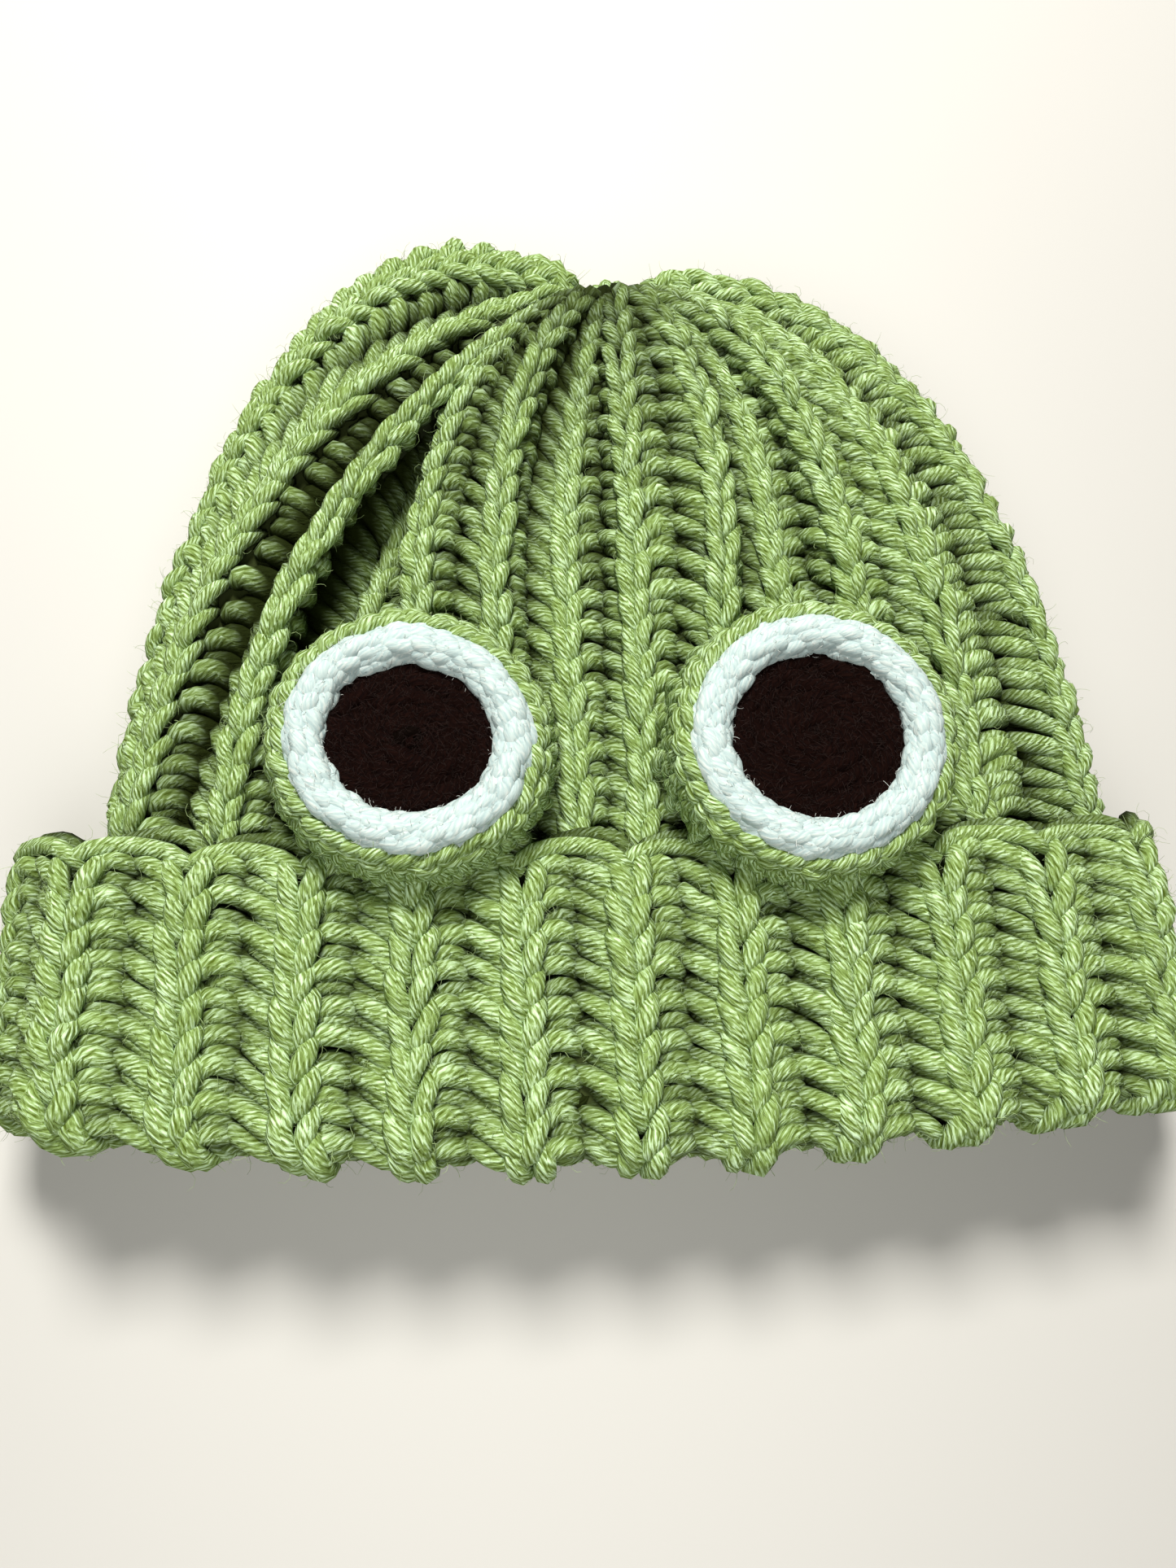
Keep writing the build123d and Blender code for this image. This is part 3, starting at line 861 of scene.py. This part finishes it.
fibre_links.new(fibre_tone.outputs["Result"], fibre_shader.inputs["Base Color"])
fibre_links.new(fibre_bump.outputs["Normal"], fibre_shader.inputs["Normal"])
SEWING_STITCHES = 22
SEWING_STITCH = [(0.0, 4.0, -0.8), (0.12, 2.6, 1.6), (0.3, 0.0, 2.6), (0.44, -2.6, 1.4)]
SEWING_YARN = (1.2, 0.9)
PAD_SHARE = 0.96  # of the room inside the cup
PAD_LUMPS = 0.12

for side in EYES:
    low, high = (Vector(corner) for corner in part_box(f"{side}_eye_filling"))
    form = bmesh.new()
    bmesh.ops.create_icosphere(form, subdivisions=4, radius=0.5)
    bmesh.ops.scale(form, vec=(high - low) * PAD_SHARE, verts=form.verts)
    bmesh.ops.translate(form, vec=(low + high) / 2, verts=form.verts)
    for vertex in form.verts:
        vertex.co += vertex.normal * rng.normal(0, PAD_LUMPS) * MM
    pad_mesh = bpy.data.meshes.new(f"{side}_eye_pad")
    form.to_mesh(pad_mesh)
    form.free()
    pad_mesh.polygons.foreach_set("use_smooth", np.ones(len(pad_mesh.polygons), bool))
    pad_mesh.materials.append(fibre_material)
    pad = bpy.data.objects.new(f"{side}_eye_pad", pad_mesh)
    bpy.context.collection.objects.link(pad)
    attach(pad, "root")
    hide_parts(f"{side}_eye_filling")
    sewn_knots = []
    for stitch in range(SEWING_STITCHES):
        sewn_knots.append([((stitch + lean) / SEWING_STITCHES, up, out)
                           for lean, up, out in SEWING_STITCH])
    sewn = lay(f"{side}_eye_sewing", sewn_knots, ring_ground(side, cup_profile), flat_fold,
               *SEWING_YARN, green_yarn, EYE_WOBBLE, EYE_SURFACE_STEP)
    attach(sewn, "root")
    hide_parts(f"{side}_eye_sewing_yarn")


# --- Crown gathering and knot -----------------------------------------------------------
# One length of the green yarn runs in and out through the rib ends, three times round the
# crown, in turns that tighten. Its knot sits behind the crown, with its end left in the hat.
GATHER_WEAVES = 8  # in and out, in each of its turns round the crown
GATHER_TURNS = 3
GATHER_TIGHTENS = 0.75  # share of its first reach that it has lost by the end
GATHER_REACH = (3.6, 4.4)  # across and up
GATHER_IN_AND_OUT = 1.4
GATHER_FORWARD = 1.6
GATHER_YARN = 1.3
gather_turns = np.linspace(0, 2 * pi * GATHER_TURNS, 12 * GATHER_WEAVES * GATHER_TURNS + 1)
tightening = 1 - GATHER_TIGHTENS * gather_turns / gather_turns[-1]
weaving = GATHER_IN_AND_OUT * np.sin(GATHER_WEAVES * gather_turns) * tightening
gather_path = gather_middle + np.stack([
    GATHER_REACH[0] * tightening * np.cos(gather_turns), GATHER_FORWARD + weaving,
    GATHER_REACH[1] * tightening * np.sin(gather_turns)], -1)
gather = yarn_piece("crown_gather", gather_path[None],
                    np.full((1, len(gather_path), 3), (0, 1.0, 0)),
                    np.full((1, len(gather_path)), GATHER_YARN), green_yarn)

KNOT_SIZE = 0.95
KNOT_SETBACK = 2.6  # from the knot's middle to the back of its box
KNOT_YARN = 1.1
KNOT_RINGS = 60
TAIL_YARN = 1.3
TAIL_RINGS = 40
knot_low, knot_high = (np.array(corner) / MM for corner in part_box("crown_knot"))
knot_middle = np.array([(knot_low[0] + knot_high[0]) / 2, knot_high[1] - KNOT_SETBACK,
                        (knot_low[2] + knot_high[2]) / 2])
knot_turns = np.linspace(0.35, 2 * pi + 0.2, KNOT_RINGS)
knot_path = knot_middle + KNOT_SIZE * np.stack([
    np.sin(knot_turns) + 2 * np.sin(2 * knot_turns), 1.3 * np.sin(3 * knot_turns),
    np.cos(knot_turns) - 2 * np.cos(2 * knot_turns)], -1)
tail_path = np.stack([knot_middle[0] + np.array([0, 1.2, -0.6, -1.8, 0.4, 1.5]),
                      np.linspace(knot_middle[1], knot_low[1] + 1, 6),
                      knot_middle[2] + np.array([0, -1.0, -2.4, -2.8, -3.4, -3.0])], -1)
tail_path = spline_points(tail_path[None], TAIL_RINGS)[0]
knot = yarn_piece("crown_knot_loops", knot_path[None], np.full((1, KNOT_RINGS, 3), (0, 1.0, 0)),
                  np.full((1, KNOT_RINGS), KNOT_YARN), green_yarn)
tail = yarn_piece("crown_knot_tail", tail_path[None], np.full((1, TAIL_RINGS, 3), (0, 0, 1.0)),
                  np.full((1, TAIL_RINGS), TAIL_YARN), green_yarn)
for piece, node in ((gather, "crown_gather_yarn"), (knot, "crown_knot"), (tail, "crown_knot")):
    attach(piece, "root")
    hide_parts(node)


# --- Back seam --------------------------------------------------------------------------
# The first and last rows of the strip meet down the middle of the back, and are whipped
# together from the inside with the same yarn.
SEAM_RIB = FRONT_RIBS * 1.5 - 0.5
SEAM_STITCHES = 24
SEAM_START = 0.06
SEAM_REACH = 0.80
SEAM_STITCH = [(-0.26, 0.0, -2.4), (-0.10, 0.010, -3.9), (0.10, 0.022, -4.0), (0.26, 0.034, -2.4)]
SEAM_YARN = (1.3, 0.9)
seam_knots = []
for stitch in range(SEAM_STITCHES):
    along = SEAM_START + SEAM_REACH * stitch / SEAM_STITCHES
    seam_knots.append([(SEAM_RIB + across, along + up, height)
                       for across, up, height in SEAM_STITCH])
seam = lay("back_seam", seam_knots, body_ground, body_fold, *SEAM_YARN, green_yarn)
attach(seam, "root")
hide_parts("back_seam_yarn")


# --- Loose fibres -----------------------------------------------------------------------
# Short ends of acrylic fibre stand off the spun yarn all over and give it its soft halo. They
# are fine curved hairs, each rooted at a point on the yarn's outer side.
FIBRE_RINGS = 4
FIBRE_RADIUS = (0.05, 0.025)  # at its root and at its end
FIBRE_STRAY = 0.7  # how far its direction strays from straight out


def loose_fibres(name, pieces, count, reach, material, lowest, upright=1.0):
    """Fine curved hairs that grow from random points on the yarn of some pieces."""
    roots, directions = [], []
    for piece in pieces:
        points = len(piece.data.vertices)
        co, normals, standing = np.zeros(points * 3), np.zeros(points * 3), np.zeros(points)
        piece.data.vertices.foreach_get("co", co)
        piece.data.vertices.foreach_get("normal", normals)
        piece.data.attributes["stand"].data.foreach_get("value", standing)
        outer = standing > lowest
        roots.append(co.reshape(-1, 3)[outer] / MM)
        directions.append(normals.reshape(-1, 3)[outer])
    roots, directions = np.concatenate(roots), np.concatenate(directions)
    chosen = rng.choice(len(roots), count, replace=False)
    roots, directions = roots[chosen], directions[chosen]
    heading = directions * upright + rng.normal(0, FIBRE_STRAY, (count, 3))
    heading /= np.linalg.norm(heading, axis=1, keepdims=True)
    bend = np.cross(heading, rng.normal(0, 1, (count, 3)))
    bend /= np.linalg.norm(bend, axis=1, keepdims=True)
    length = rng.uniform(0.35, 1.0, (count, 1, 1)) * reach
    curl = rng.uniform(0.5, 3.6, (count, 1, 1))
    travel = np.linspace(0, 1, FIBRE_RINGS)[None, :, None] * curl
    centres = roots[:, None] + (heading[:, None] * np.sin(travel)
                                + bend[:, None] * (1 - np.cos(travel))) * length / curl
    centres[..., 2] = np.maximum(centres[..., 2], 0.05)
    sideways = np.cross(heading, bend)
    outward = np.repeat(sideways[:, None], FIBRE_RINGS, 1)
    radii = np.repeat(np.linspace(*FIBRE_RADIUS, FIBRE_RINGS)[None], count, 0)
    return yarn_piece(name, centres, outward, radii, material, sides=3)


def fibre_material_of(name, colour):
    """A plain soft fibre, a little lighter than its yarn."""
    material = bpy.data.materials.new(name)
    material.use_nodes = True
    nodes, links = material.node_tree.nodes, material.node_tree.links
    shader = nodes["Principled BSDF"]
    shader.inputs["Roughness"].default_value = 0.7
    shader.inputs["Specular IOR Level"].default_value = 0.15
    shade = nodes.new("ShaderNodeAttribute")
    shade.attribute_name = "shade"
    tone = nodes.new("ShaderNodeMix")
    tone.data_type = "RGBA"
    tone.inputs["A"].default_value = (*(0.6 * part for part in colour), 1)
    tone.inputs["B"].default_value = (*colour, 1)
    links.new(shade.outputs["Fac"], tone.inputs["Factor"])
    links.new(tone.outputs["Result"], shader.inputs["Base Color"])
    return material


green_fibre = fibre_material_of("green_fibre", (0.40, 0.52, 0.24))
dark_fibre = fibre_material_of("dark_fibre", (0.020, 0.010, 0.008))
white_fibre = fibre_material_of("white_fibre", (0.80, 0.82, 0.78))
fuzz = []
for name, pieces, node in (("body_fuzz", body_pieces, "ribbed_body"),
                           ("cuff_fuzz", cuff_pieces, "turned_up_cuff")):
    stitched = [piece for piece in pieces if "web" not in piece.name]
    hairs = loose_fibres(name, stitched, count=9000, reach=4.5, material=green_fibre, lowest=0.4)
    fuzz.append((hairs, "rib_yarn", node))
for side in EYES:
    for part, count, reach, material, lowest, upright, finish in (
            ("cup", 500, 3.5, green_fibre, 0.6, 1.0, "eye_green_yarn"),
            ("white", 2600, 2.0, white_fibre, -2.0, 1.0, "eye_white_yarn"),
            ("pupil", 5000, 3.2, dark_fibre, -1.0, 0.4, "eye_black_yarn")):
        stitched = [bpy.data.objects[f"{side}_{part}_stitches"]]
        hairs = loose_fibres(f"{side}_{part}_fuzz", stitched, count, reach, material, lowest, upright)
        fuzz.append((hairs, finish, f"{side}_eye_{part}"))
for piece, finish, node in fuzz:
    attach(piece, "root")
    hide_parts(node)
